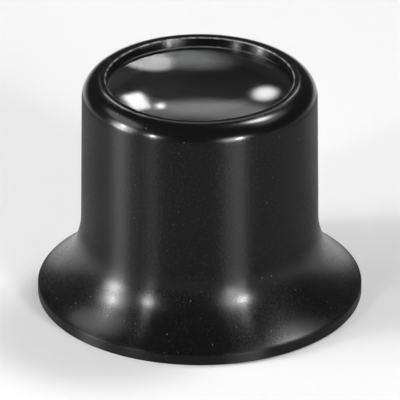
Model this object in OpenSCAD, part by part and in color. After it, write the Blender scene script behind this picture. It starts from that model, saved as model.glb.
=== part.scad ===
/* [Eye flare] */
// Outer diameter of the flare that sits in the eye socket
flare_d = 40; // [37:0.5:44]
// Height at which the barrel turns into the flare
flare_start = 10.4; // [9:0.2:12]
// Height of the upright band round the edge of the flare
flare_band_h = 1.4; // [1:0.1:2]
// Width of the flat ring that touches the face, or the table
flare_foot_w = 0.8; // [0.7:0.05:1.2]
// Radius that softens each corner of the flare's edge
flare_edge_r = 0.25; // [0.1:0.05:0.3]

/* [Barrel] */
// Height from the flat of the flare to the top of the lens rim
body_h = 29; // [26:0.5:33]
// Wall of the barrel beside the thread relief
barrel_wall = 1.6; // [1.3:0.05:2]
// Mould draft, the angle by which the barrel widens towards the flare
barrel_draft = 0.7; // [0.4:0.1:1.5]
// Radius of the round shoulder between the lens rim and the barrel
shoulder_r = 2.45; // [1.6:0.05:2.5]

/* [Lens rim] */
// Depth of the tapered wall between the rim's top and the lens
throat_depth = 1.05; // [0.8:0.05:1.6]
// Angle by which that wall leans outwards
throat_taper = 10; // [6:1:20]
// Width of the ledge that the lens bears against
seat_ledge = 0.7; // [0.5:0.05:1]
// Radius that softens the rim's inner edge
rim_edge_r = 0.1; // [0.05:0.01:0.15]

/* [Lens] */
// Diameter of the glass
lens_d = 24; // [22:0.5:26]
// Radius of curvature of both faces, which sets the focal length
lens_curve = 64.5; // [50:0.5:100]
// Thickness of the glass at its edge
lens_edge_t = 1.6; // [1.2:0.1:2.2]
// Ground bevel on both rims of the glass
lens_bevel = 0.15; // [0.1:0.05:0.25]
// Room between the edge of the glass and the wall of its pocket
lens_fit = 0.1; // [0.05:0.01:0.15]
// Room between the glass and each edge that it bears against
bearing_gap = 0.04; // [0.02:0.01:0.08]

/* [Retaining ring] */
// Width of the ledge on which the glass rests
ring_ledge = 0.8; // [0.6:0.05:1]
// Length of the plain nose above the ring's thread
ring_nose = 0.7; // [0.6:0.05:1]
// Length of the plain tail below the ring's thread
ring_tail = 0.6; // [0.5:0.05:1]
// Bevel on the ring's lower edges
ring_bevel = 0.15; // [0.1:0.05:0.2]
// Width of a spanner slot
slot_w = 2; // [1.5:0.1:2.5]
// Depth of a spanner slot
slot_depth = 0.9; // [0.6:0.1:1.2]

/* [Thread] */
// Rise of the thread in one turn
thread_pitch = 0.75; // [0.6:0.05:0.8]
// Turns of thread on the ring
ring_turns = 2.5; // [2:0.25:3]
// Turns by which the body's thread is longer than the ring's
spare_turns = 0.5; // [0.25:0.25:1]
// Radial room between the ring's thread and the body's
thread_fit = 0.1; // [0.08:0.01:0.12]
// Step by which the bore below the thread is wider than the thread
relief_step = 0.2; // [0.1:0.05:0.3]

/* [Hidden] */

$fn = 96;
fine = 720;              // facets in the arcs of the glass
curve_steps = 24;        // straight pieces in a large curve of an outline
edge_steps = 6;          // straight pieces in a softened corner
turn_steps = 48;         // straight pieces in one turn of a thread
flank = 30;              // half the angle between a thread's two flanks
kept_depth = 5 / 8;      // part of the full depth of a sharp thread that is left
ring_crest_flat = 1 / 8; // part of the pitch that is flat on top of the ring's thread
body_crest_flat = 1 / 4; // part of the pitch that is flat on top of the body's thread
root_sink = 0.06;        // how deep a thread's ridge is rooted in its wall
fade_turn = 1 / 12;      // part of a turn over which a ridge rises out of its wall
fade_from = 0.1;         // part of its height with which a ridge starts, still inside the wall
spanner_slots = 2;
overrun = 1;             // how far a cutter reaches past the face that it cuts
glass_index = 1.517;     // refractive index of crown glass
reading_distance = 250;  // distance at which the bare eye reads, which magnification is counted from

body_color = "#1b1b1c";
ring_color = "#242425";
glass_color = "#c8d2d4";

// Radii, from the glass outwards
lens_r = lens_d / 2;
ring_bore_r = lens_r - ring_ledge;
throat_r = lens_r - seat_ledge;
rim_r = throat_r + throat_depth * tan(throat_taper);
pocket_r = lens_r + lens_fit;
thread_depth = kept_depth * thread_pitch / (2 * tan(flank));
body_crest_r = pocket_r + lens_fit;
body_root_r = body_crest_r + thread_depth;
ring_crest_r = body_root_r - thread_fit;
ring_root_r = body_crest_r - thread_fit;
relief_r = body_root_r + relief_step;
barrel_r = relief_r + barrel_wall;
flare_r = flare_d / 2;

// Heights, from the rim downwards
seat_z = body_h - throat_depth;
lens_edge_z = seat_z - bearing_gap - (sag(lens_r) - sag(throat_r));
lens_mid_z = lens_edge_z - lens_edge_t / 2;
ring_top_z = lens_edge_z - lens_edge_t - (sag(lens_r) - sag(ring_bore_r)) - bearing_gap;
ring_shoulder_z = ring_top_z - ring_nose;
ring_thread_z = ring_shoulder_z - thread_pitch / 2 - ring_turns * thread_pitch;
ring_base_z = ring_thread_z - ring_tail;
body_thread_z = ring_thread_z - thread_pitch / 2;
relief_z = body_thread_z - thread_pitch;

// The barrel leans out by its draft, inside and outside, down to where the flare starts
barrel_foot_r = barrel_r + (body_h - shoulder_r - flare_start) * tan(barrel_draft);
bore_foot_r = relief_r + (relief_z - flare_start) * tan(barrel_draft);

focal_length = lens_curve / (2 * (glass_index - 1));
echo(magnification = reading_distance / focal_length, lens_thickness = lens_edge_t + 2 * sag(lens_r));
echo(ring_height = ring_top_z - ring_base_z, ring_base = ring_base_z, relief = relief_z);
echo(barrel = [2 * barrel_r, 2 * barrel_foot_r], rim = 2 * rim_r, throat = 2 * throat_r);
echo(body_thread = [2 * body_crest_r, 2 * body_root_r], ring_thread = [2 * ring_root_r, 2 * ring_crest_r]);

// How far a face of the glass has fallen away from its crown at radius r
function sag(r) = lens_curve - sqrt(lens_curve * lens_curve - r * r);

function unit(v) = v / norm(v);

function reversed(list) = [for (i = [len(list) - 1:-1:0]) list[i]];

function on_circle(centre, r, a) = centre + r * [cos(a), sin(a)];

// The round that replaces corner b, between the lines to a and to c
function softened(a, b, c, r, steps) =
    let (u = unit(a - b), v = unit(c - b), half = acos(u * v) / 2,
         centre = b + unit(u + v) * r / sin(half),
         from = b + u * r / tan(half) - centre, to = b + v * r / tan(half) - centre,
         start = atan2(from[1], from[0]), turn = atan2(from[0] * to[1] - from[1] * to[0], from * to))
    [for (i = [0:steps]) on_circle(centre, r, start + turn * i / steps)];

// The curve that leaves p leaning out by lean, and ends at q, lower and further out
function swept_out(p, q, lean) =
    let (chord = q - p, end = 2 * atan2(chord[0], -chord[1]) - lean,
         r = norm(chord) / (2 * sin((end - lean) / 2)), centre = p + r * [cos(lean), sin(lean)])
    [for (i = [0:curve_steps]) on_circle(centre, r, 180 + lean + (end - lean) * i / curve_steps)];

// The body's wall as radius and height: over the rim, down the outside, under the foot and up the inside
function body_outline() =
    let (throat = [throat_r, seat_z], rim = [rim_r, body_h],
         shoulder = [barrel_r - shoulder_r * tan(barrel_draft), body_h],
         band = [flare_r, flare_band_h], foot = [flare_r, 0], foot_inside = [flare_r - flare_foot_w, 0],
         outside = swept_out([barrel_foot_r, flare_start], band, barrel_draft),
         inside = swept_out([bore_foot_r, flare_start], foot_inside, barrel_draft))
    concat(
        softened(throat, rim, shoulder, rim_edge_r, edge_steps),
        softened(rim, shoulder, outside[0], shoulder_r, curve_steps),
        [for (i = [0:curve_steps - 1]) outside[i]],
        softened(outside[curve_steps - 1], band, foot, flare_edge_r, edge_steps),
        softened(band, foot, foot_inside, flare_edge_r, edge_steps),
        reversed(inside),
        [[relief_r, relief_z],
         [body_root_r, relief_z + relief_step],
         [body_root_r, ring_shoulder_z],
         [pocket_r, ring_shoulder_z + body_root_r - pocket_r],
         [pocket_r, seat_z],
         throat]);

// The ring's wall as radius and height, without its thread
ring_outline = [
    [ring_bore_r, ring_base_z + ring_bevel],
    [ring_bore_r + ring_bevel, ring_base_z],
    [ring_root_r - ring_bevel, ring_base_z],
    [ring_root_r, ring_base_z + ring_bevel],
    [ring_root_r, ring_shoulder_z],
    [lens_r, ring_shoulder_z + ring_root_r - lens_r],
    [lens_r, ring_top_z],
    [ring_bore_r, ring_top_z]];

// Half of the glass in section, with only its edge and bevels bounded
function lens_edge_outline(half_edge, reach) = [
    [0, -half_edge - reach],
    [lens_r - reach, -half_edge - reach],
    [lens_r, -half_edge],
    [lens_r, half_edge],
    [lens_r - reach, half_edge + reach],
    [0, half_edge + reach]];

// A thread's ridge, which winds up from height z: root_r is the wall it stands on, crest_w its width on top
module ridge(root_r, crest_r, crest_w, turns, z) {
    outward = crest_r > root_r;
    foot_r = root_r + (outward ? -root_sink : root_sink);
    foot_w = crest_w + 2 * abs(crest_r - foot_r) * tan(flank);
    steps = round(turns * turn_steps);
    points = [for (i = [0:steps])
        let (a = 360 * i / turn_steps, mid_z = z + thread_pitch * i / turn_steps,
             rise = min(1, fade_from + min(i, steps - i) / (fade_turn * turn_steps)),
             top_r = foot_r + (crest_r - foot_r) * rise)
        for (p = [[foot_r, -foot_w], [top_r, -crest_w], [top_r, crest_w], [foot_r, foot_w]])
            [p[0] * cos(a), p[0] * sin(a), mid_z + p[1] / 2]];
    sides = [for (i = [0:steps - 1], j = [0:3], upper = [false, true])
        let (p = 4 * i + j, q = 4 * i + (j + 1) % 4)
        upper ? [q, q + 4, p + 4] : [p, q, p + 4]];
    last = 4 * steps;
    ends = [[0, 3, 2], [0, 2, 1], [last, last + 1, last + 2], [last, last + 2, last + 3]];
    faces = concat(sides, ends);
    polyhedron(points, outward ? faces : [for (face = faces) reversed(face)]);
}

module loupe_body() {
    color(body_color) {
        rotate_extrude()
            polygon(body_outline());
        ridge(body_root_r, body_crest_r, body_crest_flat * thread_pitch, ring_turns + spare_turns,
              body_thread_z);
    }
}

module lens() {
    centre_drop = lens_curve - sag(lens_r) - lens_edge_t / 2;
    color(glass_color)
        translate([0, 0, lens_mid_z])
            rotate_extrude()
                intersection() {
                    translate([0, -centre_drop])
                        circle(lens_curve, $fn = fine);
                    translate([0, centre_drop])
                        circle(lens_curve, $fn = fine);
                    polygon(lens_edge_outline(lens_edge_t / 2 - lens_bevel, sag(lens_r) + overrun));
                }
}

module retaining_ring() {
    color(ring_color)
        difference() {
            union() {
                rotate_extrude()
                    polygon(ring_outline);
                ridge(ring_root_r, ring_crest_r, ring_crest_flat * thread_pitch, ring_turns, ring_thread_z);
            }
            for (i = [0:spanner_slots - 1])
                rotate(360 * i / spanner_slots)
                    translate([ring_bore_r - overrun, -slot_w / 2, ring_base_z - overrun])
                        cube([ring_crest_r - ring_bore_r + 2 * overrun, slot_w, slot_depth + overrun]);
        }
}

loupe_body();
lens();
retaining_ring();
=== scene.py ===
# %% [markdown]
# # A watchmaker's loupe
# A loupe is a black plastic horn with a glass at its narrow end. The eye goes in the flare at the wide
# end, and a threaded ring inside holds the glass against the rim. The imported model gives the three
# pieces at their true places. This lesson gives the horn and the glass finer meshes of the same shape,
# and all three pieces a finish. Everything is in metres, with the origin at the middle of the flat foot
# and +Z up through the glass.

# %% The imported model
import math

import bpy
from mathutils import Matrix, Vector


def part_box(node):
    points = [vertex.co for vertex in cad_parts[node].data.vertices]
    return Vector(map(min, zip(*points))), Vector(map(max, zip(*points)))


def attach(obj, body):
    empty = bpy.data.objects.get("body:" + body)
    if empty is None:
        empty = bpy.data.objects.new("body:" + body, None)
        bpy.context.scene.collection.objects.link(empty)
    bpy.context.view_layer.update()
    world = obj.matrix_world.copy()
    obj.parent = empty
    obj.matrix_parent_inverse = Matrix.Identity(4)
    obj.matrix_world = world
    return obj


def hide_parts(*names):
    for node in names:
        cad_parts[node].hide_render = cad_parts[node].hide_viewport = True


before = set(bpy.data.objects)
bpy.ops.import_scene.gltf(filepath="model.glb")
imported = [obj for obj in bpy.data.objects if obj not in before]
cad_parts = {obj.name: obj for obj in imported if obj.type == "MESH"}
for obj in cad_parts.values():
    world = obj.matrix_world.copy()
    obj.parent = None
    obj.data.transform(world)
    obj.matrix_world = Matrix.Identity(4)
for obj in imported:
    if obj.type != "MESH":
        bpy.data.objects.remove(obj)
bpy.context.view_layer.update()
MM = 0.001

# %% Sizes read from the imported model
_, horn_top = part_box("loupe_body")
lens_bottom, lens_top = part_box("lens")
_, ring_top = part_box("retaining_ring")
FLARE_R = horn_top[0]
BODY_H = horn_top[2]
LENS_R = lens_top[0]
LENS_MID_Z = (lens_top[2] + lens_bottom[2]) / 2
LENS_T = lens_top[2] - lens_bottom[2]
print("flare %.1f mm, height %.1f mm, glass %.1f mm" % (2 * FLARE_R / MM, BODY_H / MM, 2 * LENS_R / MM))

# %% [markdown]
# ## The camera
# The photograph is taken with a long lens from a little above the loupe, so its ellipses are wide and
# its verticals hardly lean together. A camera could be aimed at the loupe with a constraint. Here its
# place and its pitch are written out, because they were measured from the ellipses of the rim and the
# foot, and they keep the picture the same in every render.

# %% Camera
CAMERA_PLACE = (0.0, -750 * MM, 395 * MM)
CAMERA_PITCH = math.radians(27.03)
LEVEL = math.radians(90)
FOCAL_LENGTH = 616.5
SENSOR_WIDTH = 36.0
PICTURE_WIDTH = 400
MIDDLE_SHIFT = 0.3 / PICTURE_WIDTH
SEEN_FROM, SEEN_TO = 0.05, 10.0


def make_camera():
    data = bpy.data.cameras.new("camera")
    data.lens = FOCAL_LENGTH
    data.sensor_width = SENSOR_WIDTH
    data.shift_x = MIDDLE_SHIFT
    data.clip_start = SEEN_FROM
    data.clip_end = SEEN_TO
    camera = bpy.data.objects.new("camera", data)
    camera.location = CAMERA_PLACE
    # A camera that isn't turned looks straight down, so it is raised to level and pitched from there.
    camera.rotation_euler = (LEVEL - CAMERA_PITCH, 0.0, 0.0)
    bpy.context.scene.collection.objects.link(camera)
    bpy.context.scene.camera = camera
    return camera


camera = make_camera()
pitch_degrees = math.degrees(CAMERA_PITCH)
print("camera %.0f mm above the table, %.1f degrees down" % (camera.location.z / MM, pitch_degrees))

# %% [markdown]
# ## Turning an outline into a mesh
# All three pieces are turned or moulded round one axis. Blender can do that with a Screw modifier on a
# curve. A short function that lays rings of vertices is used here instead, because it can also push a
# vertex in or out by its angle, and that is how a thread is cut into a wall without a boolean. An
# outline is a list of (radius, height) pairs, and what a wall does by angle is a function added to it.


# %% A lathe for outlines
def lathe(name, outline, columns, closed=True, shape=None, sharp=35.0):
    """A mesh of revolution, smooth where its faces meet at less than sharp degrees.

    shape(k, angle) returns the (radius, height) of outline point k at an angle.
    """
    rows = len(outline)
    verts, faces = [], []
    ring_starts = []
    for k, (radius, height) in enumerate(outline):
        ring_starts.append(len(verts))
        if radius == 0.0:
            verts.append((0.0, 0.0, height))
            continue
        for i in range(columns):
            angle = 2 * math.pi * i / columns
            r, z = shape(k, angle) if shape else (radius, height)
            verts.append((r * math.cos(angle), r * math.sin(angle), z))
    for k in range(rows if closed else rows - 1):
        here, there = ring_starts[k], ring_starts[(k + 1) % rows]
        here_is_point = outline[k][0] == 0.0
        there_is_point = outline[(k + 1) % rows][0] == 0.0
        for i in range(columns):
            j = (i + 1) % columns
            if here_is_point:
                faces.append((here, there + i, there + j))
            elif there_is_point:
                faces.append((here + i, there, here + j))
            else:
                faces.append((here + i, there + i, there + j, here + j))
    mesh = bpy.data.meshes.new(name)
    mesh.from_pydata(verts, [], faces)
    mesh.polygons.foreach_set("use_smooth", [True] * len(faces))
    mesh.set_sharp_from_angle(angle=math.radians(sharp))
    mesh.update()
    piece = bpy.data.objects.new(name, mesh)
    bpy.context.scene.collection.objects.link(piece)
    return piece


# %% Round corners
def on_circle(centre, r, angle):
    return Vector((centre[0] + r * math.cos(angle), centre[1] + r * math.sin(angle)))


def softened(a, b, c, r, steps):
    """The round that replaces corner b, between the lines to a and to c."""
    a, b, c = Vector(a), Vector(b), Vector(c)
    u, v = (a - b).normalized(), (c - b).normalized()
    half = math.acos(u.dot(v)) / 2
    centre = b + (u + v).normalized() * r / math.sin(half)
    first = b + u * r / math.tan(half) - centre
    last = b + v * r / math.tan(half) - centre
    start = math.atan2(first.y, first.x)
    turn = math.atan2(first.x * last.y - first.y * last.x, first.dot(last))
    return [on_circle(centre, r, start + turn * i / steps) for i in range(steps + 1)]


print("a corner softened in 4 steps has %d points" % len(softened((0, 1), (1, 1), (1, 0), 0.5, 4)))


# %% Swept curves and straight walls
def swept_out(p, q, lean, steps):
    """The curve that leaves p leaning out by lean, and ends at q, lower and further out."""
    p, q = Vector(p), Vector(q)
    chord = q - p
    end = 2 * math.atan2(chord.x, -chord.y) - lean
    r = chord.length / (2 * math.sin((end - lean) / 2))
    centre = p + r * Vector((math.cos(lean), math.sin(lean)))
    return [on_circle(centre, r, math.pi + lean + (end - lean) * i / steps) for i in range(steps + 1)]


def straight(a, b, steps):
    """Points between a and b, without the two ends."""
    a, b = Vector(a), Vector(b)
    return [a.lerp(b, i / steps) for i in range(1, steps)]


print("a wall of 4 steps has %d points between its ends" % len(straight((0, 0), (0, 1), 4)))

# %% [markdown]
# ## The horn
# The horn is one moulding: rim, round shoulder, drafted barrel and flared eye cup, with a thread inside
# for the ring. It could be sculpted from a cylinder with bevels. An outline with true arcs is better
# here, because the photograph's highlights run without a break over the shoulder and the flare, and a
# highlight shows every flat. The wall outside is followed by the wall inside, so the mesh is closed.

# %% Sizes of the horn
FLARE_START = 10.4 * MM
FLARE_BAND_H = 1.4 * MM
FLARE_FOOT_W = 0.8 * MM
FLARE_EDGE_R = 0.25 * MM
BARREL_WALL = 1.6 * MM
DRAFT = math.radians(0.7)
SHOULDER_R = 2.45 * MM
THROAT_DEPTH = 1.05 * MM
THROAT_TAPER = math.radians(10)
SEAT_LEDGE = 0.7 * MM
RIM_EDGE_R = 0.1 * MM
POCKET_FIT = 0.1 * MM
RELIEF_STEP = 0.2 * MM
print("wall %.1f mm thick, shoulder rounded by %.2f mm" % (BARREL_WALL / MM, SHOULDER_R / MM))

# %% Sizes of the thread
RING_NOSE = 0.7 * MM
THREAD_PITCH = 0.75 * MM
RING_TURNS = 2.5
SPARE_TURNS = 0.5
FLANK = math.radians(30)
# The usual metric form: 5/8 of the full triangle deep, with a crest a quarter of the pitch wide.
THREAD_DEPTH = 5 / 8 * THREAD_PITCH / (2 * math.tan(FLANK))
BODY_CREST = THREAD_PITCH / 4
print("thread of %.2f mm pitch, %.2f mm deep" % (THREAD_PITCH / MM, THREAD_DEPTH / MM))

# %% Radii and heights of the horn
throat_r = LENS_R - SEAT_LEDGE
rim_r = throat_r + THROAT_DEPTH * math.tan(THROAT_TAPER)
pocket_r = LENS_R + POCKET_FIT
crest_r = pocket_r + POCKET_FIT
root_r = crest_r + THREAD_DEPTH
relief_r = root_r + RELIEF_STEP
barrel_r = relief_r + BARREL_WALL
barrel_foot_r = barrel_r + (BODY_H - SHOULDER_R - FLARE_START) * math.tan(DRAFT)
seat_z = BODY_H - THROAT_DEPTH
shoulder_z = ring_top[2] - RING_NOSE
thread_z = shoulder_z - THREAD_PITCH - RING_TURNS * THREAD_PITCH
relief_z = thread_z - THREAD_PITCH
bore_foot_r = relief_r + (relief_z - FLARE_START) * math.tan(DRAFT)
print("barrel %.2f mm at the rim, %.2f mm at the flare" % (2 * barrel_r / MM, 2 * barrel_foot_r / MM))

# %% Outline of the horn
SWEEP_STEPS = 72
BARREL_STEPS = 24
BORE_STEPS = 12
EDGE_STEPS = 10
THREAD_ROWS_PER_TURN = 18


def horn_outline():
    """The wall over the rim, down the outside, under the foot and up the inside, and where its thread is."""
    throat, rim = Vector((throat_r, seat_z)), Vector((rim_r, BODY_H))
    shoulder = Vector((barrel_r - SHOULDER_R * math.tan(DRAFT), BODY_H))
    foot, foot_inside = Vector((FLARE_R, 0)), Vector((FLARE_R - FLARE_FOOT_W, 0))
    band = Vector((FLARE_R, FLARE_BAND_H))
    relief = Vector((relief_r, relief_z))
    outside = swept_out((barrel_foot_r, FLARE_START), band, DRAFT, SWEEP_STEPS)
    inside = swept_out((bore_foot_r, FLARE_START), foot_inside, DRAFT, SWEEP_STEPS)
    round_rim = softened(rim, shoulder, outside[0], SHOULDER_R, SWEEP_STEPS)
    points = softened(throat, rim, shoulder, RIM_EDGE_R, EDGE_STEPS)
    points += round_rim + straight(round_rim[-1], outside[0], BARREL_STEPS) + outside[:-1]
    points += softened(outside[-2], band, foot, FLARE_EDGE_R, EDGE_STEPS)
    points += softened(band, foot, foot_inside, FLARE_EDGE_R, EDGE_STEPS)
    points += inside[::-1] + straight(inside[0], relief, BORE_STEPS) + [relief]
    wall_low, wall_high = Vector((root_r, relief_z + RELIEF_STEP)), Vector((root_r, shoulder_z))
    rows = round((wall_high.y - wall_low.y) / THREAD_PITCH * THREAD_ROWS_PER_TURN)
    thread_rows = range(len(points), len(points) + rows + 1)
    points += [wall_low] + straight(wall_low, wall_high, rows) + [wall_high]
    points += [Vector((pocket_r, shoulder_z + root_r - pocket_r)), Vector((pocket_r, seat_z)), throat]
    return [tuple(p) for p in points], thread_rows


horn_points, thread_rows = horn_outline()
print("the horn's outline has %d points, %d of them in the thread" % (len(horn_points), len(thread_rows)))

# %% [markdown]
# ### The thread inside the horn
# A thread is a ridge that climbs by its pitch in each turn. It could be a separate helix sunk into the
# wall, but that leaves two shells that cross. Here the wall's own rows are pulled in where the ridge
# passes: its middle climbs with the angle, so how far a point lies from it says how high the ridge is.
# It rises from the wall over the first twelfth of a turn, and sinks back over the last.

# %% Ridge height by place
FADE_TURNS = 1 / 12


def ridge_height(turns_along, across, crest, depth, turns):
    """Height of a thread's ridge, turns_along from its start and at a distance across from its middle."""
    fade = min(turns_along, turns - turns_along) / FADE_TURNS
    if fade <= 0:
        return 0.0
    flank_part = (abs(across) - crest / 2) / (depth * math.tan(FLANK))
    return depth * min(1.0, fade) * max(0.0, min(1.0, 1 - flank_part))


def thread_height(angle, z, start_z, crest, depth, turns):
    """The tallest ridge at that angle and height, out of those that wind past it."""
    angle_turns = angle / (2 * math.pi)
    tallest = 0.0
    for winding in range(math.ceil(turns) + 1):
        along = winding + angle_turns
        across = z - (start_z + along * THREAD_PITCH)
        tallest = max(tallest, ridge_height(along, across, crest, depth, turns))
    return tallest


thread_turns = RING_TURNS + SPARE_TURNS
middle_height = ridge_height(thread_turns / 2, 0.0, BODY_CREST, THREAD_DEPTH, thread_turns)
print("the ridge stands %.2f mm proud halfway along its %.1f turns" % (middle_height / MM, thread_turns))

# %% Mesh of the horn
HORN_COLUMNS = 256


def horn_shape(k, angle):
    r, z = horn_points[k]
    if k in thread_rows:
        r -= thread_height(angle, z, thread_z, BODY_CREST, THREAD_DEPTH, thread_turns)
    return r, z


horn = lathe("horn_moulding", horn_points, HORN_COLUMNS, shape=horn_shape)
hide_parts("loupe_body")
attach(horn, "horn")
print("the horn has %d faces" % len(horn.data.polygons))

# %% [markdown]
# ## The glass
# The glass is biconvex: two shallow spheres with a ground edge and a small bevel on each rim. Two
# spheres could be intersected, but their facets would bend the light unevenly. Rings laid on the exact
# sphere keep its faces smooth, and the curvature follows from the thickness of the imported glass.

# %% Sizes of the glass
LENS_EDGE_T = 1.6 * MM
LENS_BEVEL = 0.15 * MM
crown = (LENS_T - LENS_EDGE_T) / 2
lens_curve = (LENS_R ** 2 + crown ** 2) / (2 * crown)
print("the glass is %.2f mm thick, each face curved to %.1f mm" % (LENS_T / MM, lens_curve / MM))

# %% Mesh of the glass
LENS_RINGS = 48
LENS_COLUMNS = 256


def face_height(r):
    """Height of the upper face above the glass's middle plane."""
    return LENS_T / 2 - (lens_curve - math.sqrt(lens_curve ** 2 - r ** 2))


def lens_outline():
    face_r = LENS_R - LENS_BEVEL
    ring_radii = [face_r * i / LENS_RINGS for i in range(LENS_RINGS + 1)]
    upper = [(r, face_height(r)) for r in ring_radii]
    bevel = [(LENS_R, LENS_EDGE_T / 2 - LENS_BEVEL)]
    half = upper + bevel
    lower = [(r, -z) for r, z in reversed(half)]
    return [(r, LENS_MID_Z + z) for r, z in half + lower]


lens = lathe("lens_glass_blank", lens_outline(), LENS_COLUMNS, closed=False, sharp=20.0)
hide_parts("lens")
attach(lens, "glass")
print("the glass has %d faces" % len(lens.data.polygons))

# %% [markdown]
# ## The retaining ring
# The ring screws in from the eye side and has two slots for a spanner. It could be turned again on the
# lathe, with its thread pushed out as the horn's is pushed in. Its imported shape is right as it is,
# slots and all, so it stays and only gets a finish.

# %% The ring
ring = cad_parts["retaining_ring"]
print("the ring keeps the %d faces of its packed shape" % len(ring.data.polygons))

# %% [markdown]
# ## Finishes
# Four effects make the skins: the fine grain that a mould leaves, the dust that settles on a black
# object, the polish that fingers and face give to what they rub, and a pale line on the rim's edge
# that is both wear and a painted highlight.
# They could be painted on, but then they would sit on one piece at one size. Each is a node group here,
# built once, with inputs for its size and strength. A group gives out a mask or a height, and the
# material decides what to do with it, so one effect looks alike wherever it is used.


# %% Groups, numbers and links
def new_group(name, inputs, outputs):
    """An empty shader node group with named float inputs, given as {name: default}, and float outputs."""
    group = bpy.data.node_groups.new(name, "ShaderNodeTree")
    for socket_name, default in inputs.items():
        socket = group.interface.new_socket(socket_name, in_out="INPUT", socket_type="NodeSocketFloat")
        socket.default_value = default
    for socket_name in outputs:
        group.interface.new_socket(socket_name, in_out="OUTPUT", socket_type="NodeSocketFloat")
    return group, group.nodes.new("NodeGroupInput"), group.nodes.new("NodeGroupOutput")


def feed(tree, socket, value):
    """Set a socket to a number, or link it to another node's output."""
    if isinstance(value, (int, float)):
        socket.default_value = value
    else:
        tree.links.new(value, socket)


# %% Sums, ranges and lengths
def math_node(tree, operation, *values, clamp=False):
    """A Math node whose inputs are numbers or sockets, and its output socket."""
    node = tree.nodes.new("ShaderNodeMath")
    node.operation = operation
    node.use_clamp = clamp
    for socket, value in zip(node.inputs, values):
        feed(tree, socket, value)
    return node.outputs[0]


def blend_range(tree, value, low, high, low_out=0.0, high_out=1.0):
    """value eased from low_out to high_out while it goes from low to high."""
    node = tree.nodes.new("ShaderNodeMapRange")
    node.interpolation_type = "SMOOTHSTEP"
    settings = {"From Min": low, "From Max": high, "To Min": low_out, "To Max": high_out, "Value": value}
    for socket_name, setting in settings.items():
        feed(tree, node.inputs[socket_name], setting)
    return node.outputs["Result"]


def hypotenuse(tree, a, b):
    """The length of the long side of a right triangle whose short sides are the sockets a and b."""
    squares = math_node(tree, "MULTIPLY_ADD", a, a, math_node(tree, "MULTIPLY", b, b))
    return math_node(tree, "SQRT", squares)


# %% Noise and place
# Most of a noise lies between these two, which are used as the ends of what it drives.
NOISE_LOW, NOISE_HIGH = 0.3, 0.7


def noise(tree, vector, scale, detail):
    node = tree.nodes.new("ShaderNodeTexNoise")
    node.inputs["Detail"].default_value = detail
    feed(tree, node.inputs["Scale"], scale)
    feed(tree, node.inputs["Vector"], vector)
    return node.outputs["Fac"]


def object_place(tree):
    """The point's place on the piece, in metres."""
    return tree.nodes.new("ShaderNodeTexCoord").outputs["Object"]


def parts_of(tree, vector):
    """The outputs X, Y and Z that a vector is split into."""
    node = tree.nodes.new("ShaderNodeSeparateXYZ")
    feed(tree, node.inputs["Vector"], vector)
    return node.outputs


# %% [markdown]
# ### Mould grain
# A moulded skin takes the fine grain of its mould. It could be real displacement, but grains of a
# quarter of a millimetre need millions of faces. One noise gives the height of the grain here, and a
# slower one says where the skin is a little more matt, because no mould wears evenly.


# %% Mould grain group
def make_mould_grain():
    """Height of a fine even grain, and a slow drift in how matt the skin is, both from 0 to 1."""
    settings = {"Grains per metre": 4000.0, "Patches per metre": 120.0}
    group, inputs, outputs = new_group("mould_grain", settings, ("Height", "Drift"))
    place = object_place(group)
    grain = noise(group, place, inputs.outputs["Grains per metre"], detail=3.0)
    drift = noise(group, place, inputs.outputs["Patches per metre"], detail=4.0)
    group.links.new(grain, outputs.inputs["Height"])
    group.links.new(drift, outputs.inputs["Drift"])
    return group


mould_grain = make_mould_grain()
print("%s has %d nodes" % (mould_grain.name, len(mould_grain.nodes)))

# %% [markdown]
# ### Settled dust
# Dust shows on black plastic more than on anything else. It could be scattered as tiny objects, but a
# speck is far smaller than a face of the mesh. A Voronoi texture cuts the space into cells here. Each
# cell's random colour says whether it holds a speck and how big, and faces that look up hold more.

# %% Settled dust group
FACING_DOWN = -0.6
DUST_UNDERNEATH = 0.25
SPECK_CORE = 0.5


def make_settled_dust():
    """Small specks of dust, sharp in the middle of a cell and more of them on surfaces that face up."""
    settings = {"Specks per metre": 600.0, "Share": 0.3, "Size": 0.12}
    group, inputs, outputs = new_group("settled_dust", settings, ("Mask",))
    cells = group.nodes.new("ShaderNodeTexVoronoi")
    group.links.new(inputs.outputs["Specks per metre"], cells.inputs["Scale"])
    group.links.new(object_place(group), cells.inputs["Vector"])
    luck = group.nodes.new("ShaderNodeSeparateColor")
    group.links.new(cells.outputs["Color"], luck.inputs["Color"])
    geometry = group.nodes.new("ShaderNodeNewGeometry")
    facing = parts_of(group, geometry.outputs["Normal"])
    upward = blend_range(group, facing["Z"], FACING_DOWN, 1.0, DUST_UNDERNEATH, 1.0)
    share = math_node(group, "MULTIPLY", inputs.outputs["Share"], upward)
    chosen = math_node(group, "LESS_THAN", luck.outputs["Red"], share)
    size = math_node(group, "MULTIPLY", inputs.outputs["Size"], luck.outputs["Green"])
    core = math_node(group, "MULTIPLY", size, SPECK_CORE)
    speck = blend_range(group, cells.outputs["Distance"], core, size, 1.0, 0.0)
    group.links.new(math_node(group, "MULTIPLY", speck, chosen), outputs.inputs["Mask"])
    return group


settled_dust = make_settled_dust()
print("%s has %d nodes" % (settled_dust.name, len(settled_dust.nodes)))

# %% [markdown]
# ### Handled polish
# Fingers and face rub the rim and the flare until they shine. Two materials could meet there, but wear
# has no border. This mask depends on the height above the foot instead: full between two heights, eased
# out beyond them, and a little uneven all over.

# %% Handled polish group
LEAST_POLISHED = 0.85


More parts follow.
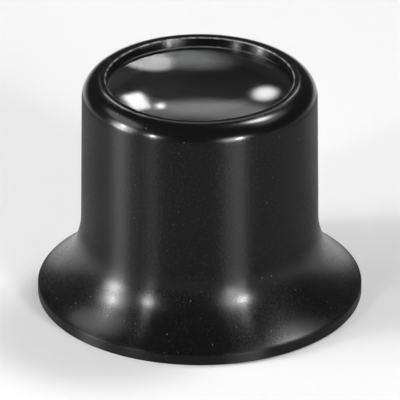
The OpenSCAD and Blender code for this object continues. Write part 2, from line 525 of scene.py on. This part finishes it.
def make_handled_polish():
    """How much the skin is polished: fully between two heights, and less beyond them until it ends."""
    settings = {"Low": 2 * MM, "High": 7 * MM, "Ease below": 1 * MM, "Ease above": 1 * MM,
                "Patches per metre": 200.0}
    group, inputs, outputs = new_group("handled_polish", settings, ("Mask",))
    place = object_place(group)
    height = parts_of(group, place)["Z"]
    low_end = math_node(group, "SUBTRACT", inputs.outputs["Low"], inputs.outputs["Ease below"])
    high_end = math_node(group, "ADD", inputs.outputs["High"], inputs.outputs["Ease above"])
    above = blend_range(group, height, low_end, inputs.outputs["Low"])
    beyond = blend_range(group, height, inputs.outputs["High"], high_end)
    between = math_node(group, "SUBTRACT", above, beyond)
    patches = noise(group, place, inputs.outputs["Patches per metre"], detail=3.0)
    uneven = blend_range(group, patches, NOISE_LOW, NOISE_HIGH, LEAST_POLISHED, 1.0)
    group.links.new(math_node(group, "MULTIPLY", between, uneven), outputs.inputs["Mask"])
    return group


handled_polish = make_handled_polish()
print("%s has %d nodes" % (handled_polish.name, len(handled_polish.nodes)))

# %% [markdown]
# ### Worn edge, with a painted highlight
# The round edge beside the glass is rubbed most, and shows as a fine pale line with breaks in it. That
# pale line is also a painted highlight: the light that the edge catches is painted into its colour. The
# shader's Pointiness could find such edges, but what it finds depends on how dense the mesh is. The
# radius and the height of this edge are known, so the mask is how near a point lies to them.

# %% Worn edge and painted highlight group
BREAKS_FROM, BREAKS_TO = 0.42, 0.56
LEFT_IN_BREAKS = 0.25


def make_edge_wear_and_highlight():
    """A fine broken line at a radius and a height, where a round edge is rubbed and its highlight is
    painted.
    """
    settings = {"Radius": 11.5 * MM, "Height": 29 * MM, "Width": 0.1 * MM, "Patches per metre": 900.0}
    group, inputs, outputs = new_group("edge_wear_and_highlight", settings, ("Mask",))
    place = object_place(group)
    parts = parts_of(group, place)
    from_axis = hypotenuse(group, parts["X"], parts["Y"])
    aside = math_node(group, "SUBTRACT", from_axis, inputs.outputs["Radius"])
    below = math_node(group, "SUBTRACT", parts["Z"], inputs.outputs["Height"])
    half_width = math_node(group, "DIVIDE", inputs.outputs["Width"], 2.0)
    line = blend_range(group, hypotenuse(group, aside, below), half_width, inputs.outputs["Width"], 1.0, 0.0)
    patches = noise(group, place, inputs.outputs["Patches per metre"], detail=3.0)
    broken = blend_range(group, patches, BREAKS_FROM, BREAKS_TO, LEFT_IN_BREAKS, 1.0)
    group.links.new(math_node(group, "MULTIPLY", line, broken), outputs.inputs["Mask"])
    return group


edge_wear_and_highlight = make_edge_wear_and_highlight()
print("%s has %d nodes" % (edge_wear_and_highlight.name, len(edge_wear_and_highlight.nodes)))


# %% Materials and placed groups
def new_material(name, settings):
    """A material with a Principled BSDF whose own sockets are set from a dictionary."""
    material = bpy.data.materials.new(name)
    material.use_nodes = True
    shader = material.node_tree.nodes["Principled BSDF"]
    for socket_name, value in settings.items():
        shader.inputs[socket_name].default_value = value
    return material, material.node_tree, shader


def place_group(tree, group, **values):
    """An effect placed in a material. Its inputs are named with _ in place of each space."""
    node = tree.nodes.new("ShaderNodeGroup")
    node.node_tree = group
    for socket_name, value in values.items():
        node.inputs[socket_name.replace("_", " ")].default_value = value
    return node


# %% Mixed colours and bumps
# A Mix node has an A, a B and a result for every kind of value, all with the same names, so those for
# colours are reached by number.
COLOUR_A, COLOUR_B, COLOUR_RESULT = 6, 7, 2
BUMP_STRENGTH = 0.6


def mix_colours(tree, mask, first, second):
    node = tree.nodes.new("ShaderNodeMix")
    node.data_type = "RGBA"
    tree.links.new(mask, node.inputs["Factor"])
    node.inputs[COLOUR_A].default_value = first
    node.inputs[COLOUR_B].default_value = second
    return node.outputs[COLOUR_RESULT]


def bump(tree, height, distance):
    """A normal that leans as if height, from 0 to 1, were real and distance metres deep."""
    node = tree.nodes.new("ShaderNodeBump")
    node.inputs["Distance"].default_value = distance
    node.inputs["Strength"].default_value = BUMP_STRENGTH
    tree.links.new(height, node.inputs["Height"])
    return node.outputs["Normal"]


# %% [markdown]
# ### Black moulded plastic
# The horn is black through and through, so what the eye reads is its skin: satin on the barrel, and
# polished at the rim and on the flare. One even gloss would be simpler, but the photograph shows soft
# upright bands on the barrel and small sharp highlights on the rim and the flare. So the base is satin,
# with highlights drawn out up and down by the fine lines that the mould's turning left, and a thin
# clear coat grows with the polish. The grain is rubbed off the rim, and half off the flare.

# %% Colour of the horn
PLASTIC_BLACK = (0.003, 0.003, 0.0032, 1.0)
DUST_GREY = (0.30, 0.295, 0.285, 1.0)
FLECKS_FROM, FLECKS_TO = 0.50, 0.66
FLECK_PALENESS = 0.025
# The pale line on the rim's inner edge is rub wear and also a painted highlight where that edge catches
# light.
WEAR_AND_HIGHLIGHT_PALENESS = 0.7
WEAR_AND_HIGHLIGHT_WIDTH = 0.17 * MM


def horn_colour(tree, grain, grain_left, dust):
    """Black, with paler grain flecks, dust, and on the rim's inner edge a line of wear and painted
    highlight.
    """
    edge = place_group(tree, edge_wear_and_highlight, Radius=rim_r, Height=BODY_H, Width=WEAR_AND_HIGHLIGHT_WIDTH)
    flecks = blend_range(tree, grain, FLECKS_FROM, FLECKS_TO, 0.0, FLECK_PALENESS)
    fading_flecks = math_node(tree, "MULTIPLY", flecks, grain_left)
    # Rub wear and a painted highlight, as one pale line along the rim's inner edge.
    pale_wear_and_highlight = math_node(tree, "MULTIPLY", edge.outputs["Mask"], WEAR_AND_HIGHLIGHT_PALENESS)
    pale = math_node(tree, "MAXIMUM", dust, math_node(tree, "MAXIMUM", fading_flecks, pale_wear_and_highlight))
    return mix_colours(tree, pale, PLASTIC_BLACK, DUST_GREY)


print("the worn line is %.2f mm wide and %.1f mm from the axis" % (WEAR_AND_HIGHLIGHT_WIDTH / MM, rim_r / MM))

# %% Gloss of the horn
SATIN_FROM, SATIN_TO = 0.40, 0.45
GRAIN_LOW, GRAIN_HIGH = 0.35, 0.65
GRAIN_ROUGHNESS = 0.05
FLARE_POLISHED_BY, RIM_POLISHED_BY = -0.18, -0.34
DUST_ROUGHNESS = 0.4
COAT_ON_SATIN, COAT_ON_POLISH = 0.03, 0.45


def horn_roughness(tree, drift, grain, grain_left, flare, rim, dust):
    slow = blend_range(tree, drift, NOISE_LOW, NOISE_HIGH, SATIN_FROM, SATIN_TO)
    fine = blend_range(tree, grain, GRAIN_LOW, GRAIN_HIGH, -GRAIN_ROUGHNESS, GRAIN_ROUGHNESS)
    matt = math_node(tree, "MULTIPLY_ADD", fine, grain_left, slow)
    satin_flare = math_node(tree, "MULTIPLY_ADD", flare, FLARE_POLISHED_BY, matt)
    rubbed = math_node(tree, "MULTIPLY_ADD", rim, RIM_POLISHED_BY, satin_flare)
    return math_node(tree, "MULTIPLY_ADD", dust, DUST_ROUGHNESS, rubbed, clamp=True)


def horn_coat(tree, polish, dust):
    coat = blend_range(tree, polish, 0.0, 1.0, COAT_ON_SATIN, COAT_ON_POLISH)
    return math_node(tree, "MULTIPLY", coat, math_node(tree, "SUBTRACT", 1.0, dust))


print("roughness %.2f on the barrel, %.2f on the rim" % (SATIN_FROM, SATIN_FROM + RIM_POLISHED_BY))

# %% Horn plastic
# The specular level is low, because a white table mirrored at full strength turns black to grey.
HORN_SKIN = {
    "IOR": 1.5, "Specular IOR Level": 0.18, "Anisotropic": 1.0, "Anisotropic Rotation": 0.25,
    "Coat Roughness": 0.22, "Coat IOR": 1.5}
RIM_ZONE = {"Low": 27.6 * MM, "High": 30 * MM, "Ease_below": 0.6 * MM}
FLARE_ZONE = {"Low": 1.7 * MM, "High": 6 * MM, "Ease_below": 0.3 * MM, "Ease_above": 4 * MM}
FLARE_SMOOTHED = 0.55
GRAIN_DEPTH = 0.03 * MM


def make_horn_plastic():
    material, tree, shader = new_material("satin_black_plastic", HORN_SKIN)
    grain = place_group(tree, mould_grain, Grains_per_metre=3600.0, Patches_per_metre=130.0)
    specks = place_group(tree, settled_dust, Specks_per_metre=1500.0, Share=0.75, Size=0.10)
    height, drift, dust = grain.outputs["Height"], grain.outputs["Drift"], specks.outputs["Mask"]
    rim = place_group(tree, handled_polish, **RIM_ZONE).outputs["Mask"]
    flare = place_group(tree, handled_polish, **FLARE_ZONE).outputs["Mask"]
    polish = math_node(tree, "ADD", rim, flare, clamp=True)
    smoothed = math_node(tree, "MULTIPLY_ADD", flare, FLARE_SMOOTHED, rim)
    grain_left = math_node(tree, "SUBTRACT", 1.0, smoothed, clamp=True)
    fading_grain = math_node(tree, "MULTIPLY", height, grain_left)
    around = tree.nodes.new("ShaderNodeTangent")
    around.direction_type = "RADIAL"
    around.axis = "Z"
    skin = {
        "Tangent": around.outputs["Tangent"],
        "Base Color": horn_colour(tree, height, grain_left, dust),
        "Roughness": horn_roughness(tree, drift, height, grain_left, flare, rim, dust),
        "Coat Weight": horn_coat(tree, polish, dust),
        "Normal": bump(tree, fading_grain, GRAIN_DEPTH)}
    for socket_name, output in skin.items():
        tree.links.new(output, shader.inputs[socket_name])
    return material


horn.data.materials.append(make_horn_plastic())
print("horn finish:", horn.data.materials[0].name)

# %% [markdown]
# ### Matt plastic for the ring
# The ring is a duller black than the horn, and deep inside nothing rubs it. It could share the horn's
# finish, but the two would then look like one piece from the eye side. It takes the same grain and dust
# at its own sizes, with no polish, no coat and no pale edge line of wear and painted highlight.

# %% Ring plastic
RING_SKIN = {"IOR": 1.5, "Specular IOR Level": 0.35}
RING_BLACK = (0.016, 0.016, 0.017, 1.0)
RING_MATT_FROM, RING_MATT_TO = 0.5, 0.62
RING_GRAIN_DEPTH = 0.02 * MM


def make_ring_plastic():
    material, tree, shader = new_material("matt_black_plastic", RING_SKIN)
    grain = place_group(tree, mould_grain, Grains_per_metre=3500.0, Patches_per_metre=300.0)
    dust = place_group(tree, settled_dust, Specks_per_metre=800.0, Share=0.25, Size=0.12)
    colour = mix_colours(tree, dust.outputs["Mask"], RING_BLACK, DUST_GREY)
    matt = blend_range(tree, grain.outputs["Drift"], NOISE_LOW, NOISE_HIGH, RING_MATT_FROM, RING_MATT_TO)
    normal = bump(tree, grain.outputs["Height"], RING_GRAIN_DEPTH)
    for socket_name, output in {"Base Color": colour, "Roughness": matt, "Normal": normal}.items():
        tree.links.new(output, shader.inputs[socket_name])
    return material


ring.data.materials.clear()
ring.data.materials.append(make_ring_plastic())
print("ring finish:", ring.data.materials[0].name)

# %% [markdown]
# ### Glass
# The faces are polished and the edge is ground, which is rough and looks white. Two glasses on two
# parts of the mesh would do, but they would meet in a hard line on the bevel. It is one glass here,
# whose roughness depends on how far from the axis a point is. A few specks of dust lie on it.

# %% Lens glass
CROWN_GLASS = {"IOR": 1.517, "Transmission Weight": 1.0, "Base Color": (0.97, 0.985, 0.98, 1.0)}
GROUND_FROM, GROUND_TO = LENS_R - 1.2 * LENS_BEVEL, LENS_R - 0.8 * LENS_BEVEL
# The faces are a little rough, so that the lamps in them have the soft edges of the photograph's.
FACE_ROUGHNESS, GROUND_ROUGHNESS = 0.07, 0.6
SPECK_ROUGHNESS = 0.7


def make_lens_glass():
    material, tree, shader = new_material("polished_crown_glass", CROWN_GLASS)
    parts = parts_of(tree, object_place(tree))
    from_axis = hypotenuse(tree, parts["X"], parts["Y"])
    ground = blend_range(tree, from_axis, GROUND_FROM, GROUND_TO)
    dust = place_group(tree, settled_dust, Specks_per_metre=450.0, Share=0.10, Size=0.07)
    rough_edge = blend_range(tree, ground, 0.0, 1.0, FACE_ROUGHNESS, GROUND_ROUGHNESS)
    rough_specks = math_node(tree, "MULTIPLY", dust.outputs["Mask"], SPECK_ROUGHNESS)
    tree.links.new(math_node(tree, "MAXIMUM", rough_edge, rough_specks), shader.inputs["Roughness"])
    return material


lens.data.materials.append(make_lens_glass())
print("glass finish:", lens.data.materials[0].name)

# %% [markdown]
# ## The table
# The loupe stands on a plain pale table. A flat plane would do from high up, but a camera near the
# table's height would see where it ends. This one is a wide disc with a low upturned edge, and the
# lathe that made the horn makes it too.

# %% Table
TABLE_R = 1.5
TABLE_RINGS = (0.0, 0.5, 0.9)
TABLE_COLUMNS = 96
TABLE_EDGE_H = 0.10
UPTURN_R = 0.9 * TABLE_EDGE_H
UPTURN_STEPS = 12
TABLE_SKIN = {"Base Color": (0.80, 0.80, 0.80, 1.0), "Roughness": 0.9}


def make_table():
    flat = [(TABLE_R * share, 0.0) for share in TABLE_RINGS]
    upturn = softened((0, 0), (TABLE_R, 0), (TABLE_R, TABLE_EDGE_H), UPTURN_R, UPTURN_STEPS)
    outline = flat + [tuple(p) for p in upturn] + [(TABLE_R, TABLE_EDGE_H)]
    table = lathe("table", outline, TABLE_COLUMNS, closed=False, sharp=80.0)
    table.data.flip_normals()
    material, _, _ = new_material("pale_table", TABLE_SKIN)
    table.data.materials.append(material)
    return table


table = make_table()
print("the table is %.0f m across and has %d faces" % (2 * TABLE_R, len(table.data.polygons)))

# %% [markdown]
# ## The lamps
# One big dome could light it all, and a pale object would look right under it. Black plastic shows
# little but the lamps themselves, so here they are read from the photograph: each spot on the shoulder
# or the flare says from which compass angle and height its light comes. Wide faint lamps make the soft
# bands, and small strong ones within them make the spots. A real soft box is brighter in its middle,
# so the face of each lamp fades towards its edge.

# %% Directions from the loupe
AIM = Vector((0.0, 0.0, BODY_H / 2))
LAMP_DISTANCE = 0.7


def direction(azimuth, elevation):
    """Azimuth 0 is straight behind the loupe, +90 its right; elevation is above the table, in degrees."""
    a, e = math.radians(azimuth), math.radians(elevation)
    return Vector((math.sin(a) * math.cos(e), math.cos(a) * math.cos(e), math.sin(e)))


def span(degrees):
    """The width of a lamp that spans so many degrees from the loupe."""
    return 2 * LAMP_DISTANCE * math.tan(math.radians(degrees / 2))


print("a lamp that spans 30 degrees is %.2f m wide" % span(30))

# %% Faded faces
HALF_FACE = 0.5
FACE_MIDDLE = (HALF_FACE, HALF_FACE, 0.0)


def fading(tree, from_middle, even_share):
    """1 over the even middle of a lamp's face, and eased from there to 0 at its edge."""
    return blend_range(tree, from_middle, even_share * HALF_FACE, HALF_FACE, 1.0, 0.0)


def fade_towards_edge(light, even_share):
    """Dim the lamp's face smoothly from even_share of its half-width out to nothing at its edge."""
    light.use_nodes = True
    tree = light.node_tree
    place = tree.nodes.new("ShaderNodeNewGeometry").outputs["Parametric"]
    from_middle = tree.nodes.new("ShaderNodeVectorMath")
    from_middle.operation = "SUBTRACT"
    from_middle.inputs[1].default_value = FACE_MIDDLE
    tree.links.new(place, from_middle.inputs[0])
    if light.shape == "ELLIPSE":
        length = tree.nodes.new("ShaderNodeVectorMath")
        length.operation = "LENGTH"
        tree.links.new(from_middle.outputs["Vector"], length.inputs[0])
        glow = fading(tree, length.outputs["Value"], even_share)
    else:
        sides = parts_of(tree, from_middle.outputs["Vector"])
        across = fading(tree, math_node(tree, "ABSOLUTE", sides["X"]), even_share)
        along = fading(tree, math_node(tree, "ABSOLUTE", sides["Y"]), even_share)
        glow = math_node(tree, "MULTIPLY", across, along)
    tree.links.new(glow, tree.nodes["Emission"].inputs["Strength"])


# %% Light left after fading
def faded_share(even_share, steps=40):
    """The part of an even round lamp's light that is left once its face fades from even_share outwards."""
    share = 0.0
    for i in range(steps):
        r = (i + 0.5) / steps
        t = min(1.0, max(0.0, (r - even_share) / (1 - even_share)))
        smooth_step = t * t * (3 - 2 * t)
        share += (1 - smooth_step) * 2 * r / steps
    return share


print("a lamp that fades from its very middle keeps %.2f of its light" % faded_share(0.0))

# %% A soft box
# Each shape with the share of its width times its height that it fills.
ROUND = ("ELLIPSE", math.pi / 4)
SQUARE = ("RECTANGLE", 1.0)
# The energy of an area lamp is this many times its area times its radiance.
ENERGY_FACTOR = 4


def soft_box(name, place, size, radiance, even_share=0.0, shape=ROUND, hidden_from=()):
    """A lamp at place (azimuth, elevation) that spans size (width, height), in degrees from the loupe.

    radiance is what its middle gives. It returns the light that reaches the table under the loupe.
    """
    light = bpy.data.lights.new(name, "AREA")
    light.shape, filled = shape
    light.size, light.size_y = span(size[0]), span(size[1])
    area = light.size * light.size_y * filled
    light.energy = ENERGY_FACTOR * area * radiance
    fade_towards_edge(light, even_share)
    lamp = bpy.data.objects.new(name, light)
    lamp.location = AIM + direction(*place) * LAMP_DISTANCE
    lamp.rotation_euler = (AIM - lamp.location).to_track_quat("-Z", "Y").to_euler()
    lamp.visible_camera = False
    lamp.visible_transmission = "inside of the glass" not in hidden_from
    lamp.visible_glossy = "gloss" not in hidden_from
    lamp.visible_diffuse = "table" not in hidden_from
    bpy.context.scene.collection.objects.link(lamp)
    if "table" in hidden_from:
        return 0.0
    return area / LAMP_DISTANCE ** 2 * radiance * faded_share(even_share) * math.sin(math.radians(place[1]))


# %% Lamps at the sides
# Place, size and radiance, and after them the even share of a face that has one.
SIDE_LAMPS = {
    "left_window": ((-101, 20), (36, 34), 11.0),
    "left_window_low": ((-101, 8), (28, 17), 27.0),
    "left_window_core": ((-100, 22), (10, 11), 62.0),
    "left_small": ((-134, 16), (20, 20), 8.0),
    "left_small_core": ((-134, 22), (9, 9), 90.0),
    "right_window": ((148, 16), (36, 32), 10.5),
    "right_window_low": ((152, 5), (16, 12), 26.0),
    "right_window_core": ((142, 17), (10, 10), 125.0),
    "right_soft_box": ((72, 53), (46, 30), 2.0),
    "left_soft_box": ((-82, 43), (50, 28), 2.0, 0.6)}
table_light = 0.0
for lamp_name, settings in SIDE_LAMPS.items():
    table_light += soft_box(lamp_name, *settings)
print("light on the table from the sides %.2f" % table_light)

# %% [markdown]
# ### What the glass shows
# Both faces of the glass mirror, so a lamp behind the loupe would show in it twice, and the photograph
# has each of them once. They could be painted on the glass, but then they would stay put when the
# camera moves. These lamps are hidden from light that has been inside the glass instead. Two wide
# ones, a high window and a glow overhead, are seen in the glass alone. If they shone on the rest too,
# the table would clip to white and the shoulder would turn grey.

# %% Lamps that show in the glass once
BACK_LAMPS = {
    "right_strip": ((49, 60), (24, 17), 26.0, 0.2),
    "back_left_lamp": ((-9.7, 34.9), (2.9, 9), 9.0, 0.6, SQUARE),
    "back_small_lamp": ((-6.6, 38.4), (1.6, 2.8), 12.0, 0.3),
    "back_right_lamp": ((9.2, 31.2), (3.6, 9), 6.5, 0.4),
    "back_panel": ((5, 41), (34, 12), 1.4, 0.3)}
for lamp_name, settings in BACK_LAMPS.items():
    table_light += soft_box(lamp_name, *settings, hidden_from=("inside of the glass",))
print("light on the table %.2f, where %.2f shows a colour as it is written" % (table_light, math.pi))

# %% Lamps that only the glass shows
GLASS_LAMPS = {
    "high_window": ((49, 56), (40, 26), 26.0, 0.1),
    "ceiling_glow": ((32, 69), (64, 36), 3.1, 0.2)}
for lamp_name, settings in GLASS_LAMPS.items():
    soft_box(lamp_name, *settings, hidden_from=("gloss", "table"))
print("for the glass alone:", ", ".join(GLASS_LAMPS))

# %% [markdown]
# ## The rest of the room
# A real studio isn't black between its lamps. An image of a room could stand for it, but it would show
# in the plastic as shapes that the photograph doesn't have. A faint even white fills in here, too weak
# to turn the black grey, and the Standard view shows each colour as it is written.

# %% World
WORLD_GLOW = 0.05
WHITE = (1.0, 1.0, 1.0, 1.0)
world = bpy.data.worlds.new("studio")
world.use_nodes = True
room = world.node_tree.nodes["Background"]
room.inputs["Color"].default_value = WHITE
room.inputs["Strength"].default_value = WORLD_GLOW
bpy.context.scene.world = world
bpy.context.scene.view_settings.view_transform = "Standard"
print("the room glows at %.2f" % WORLD_GLOW)
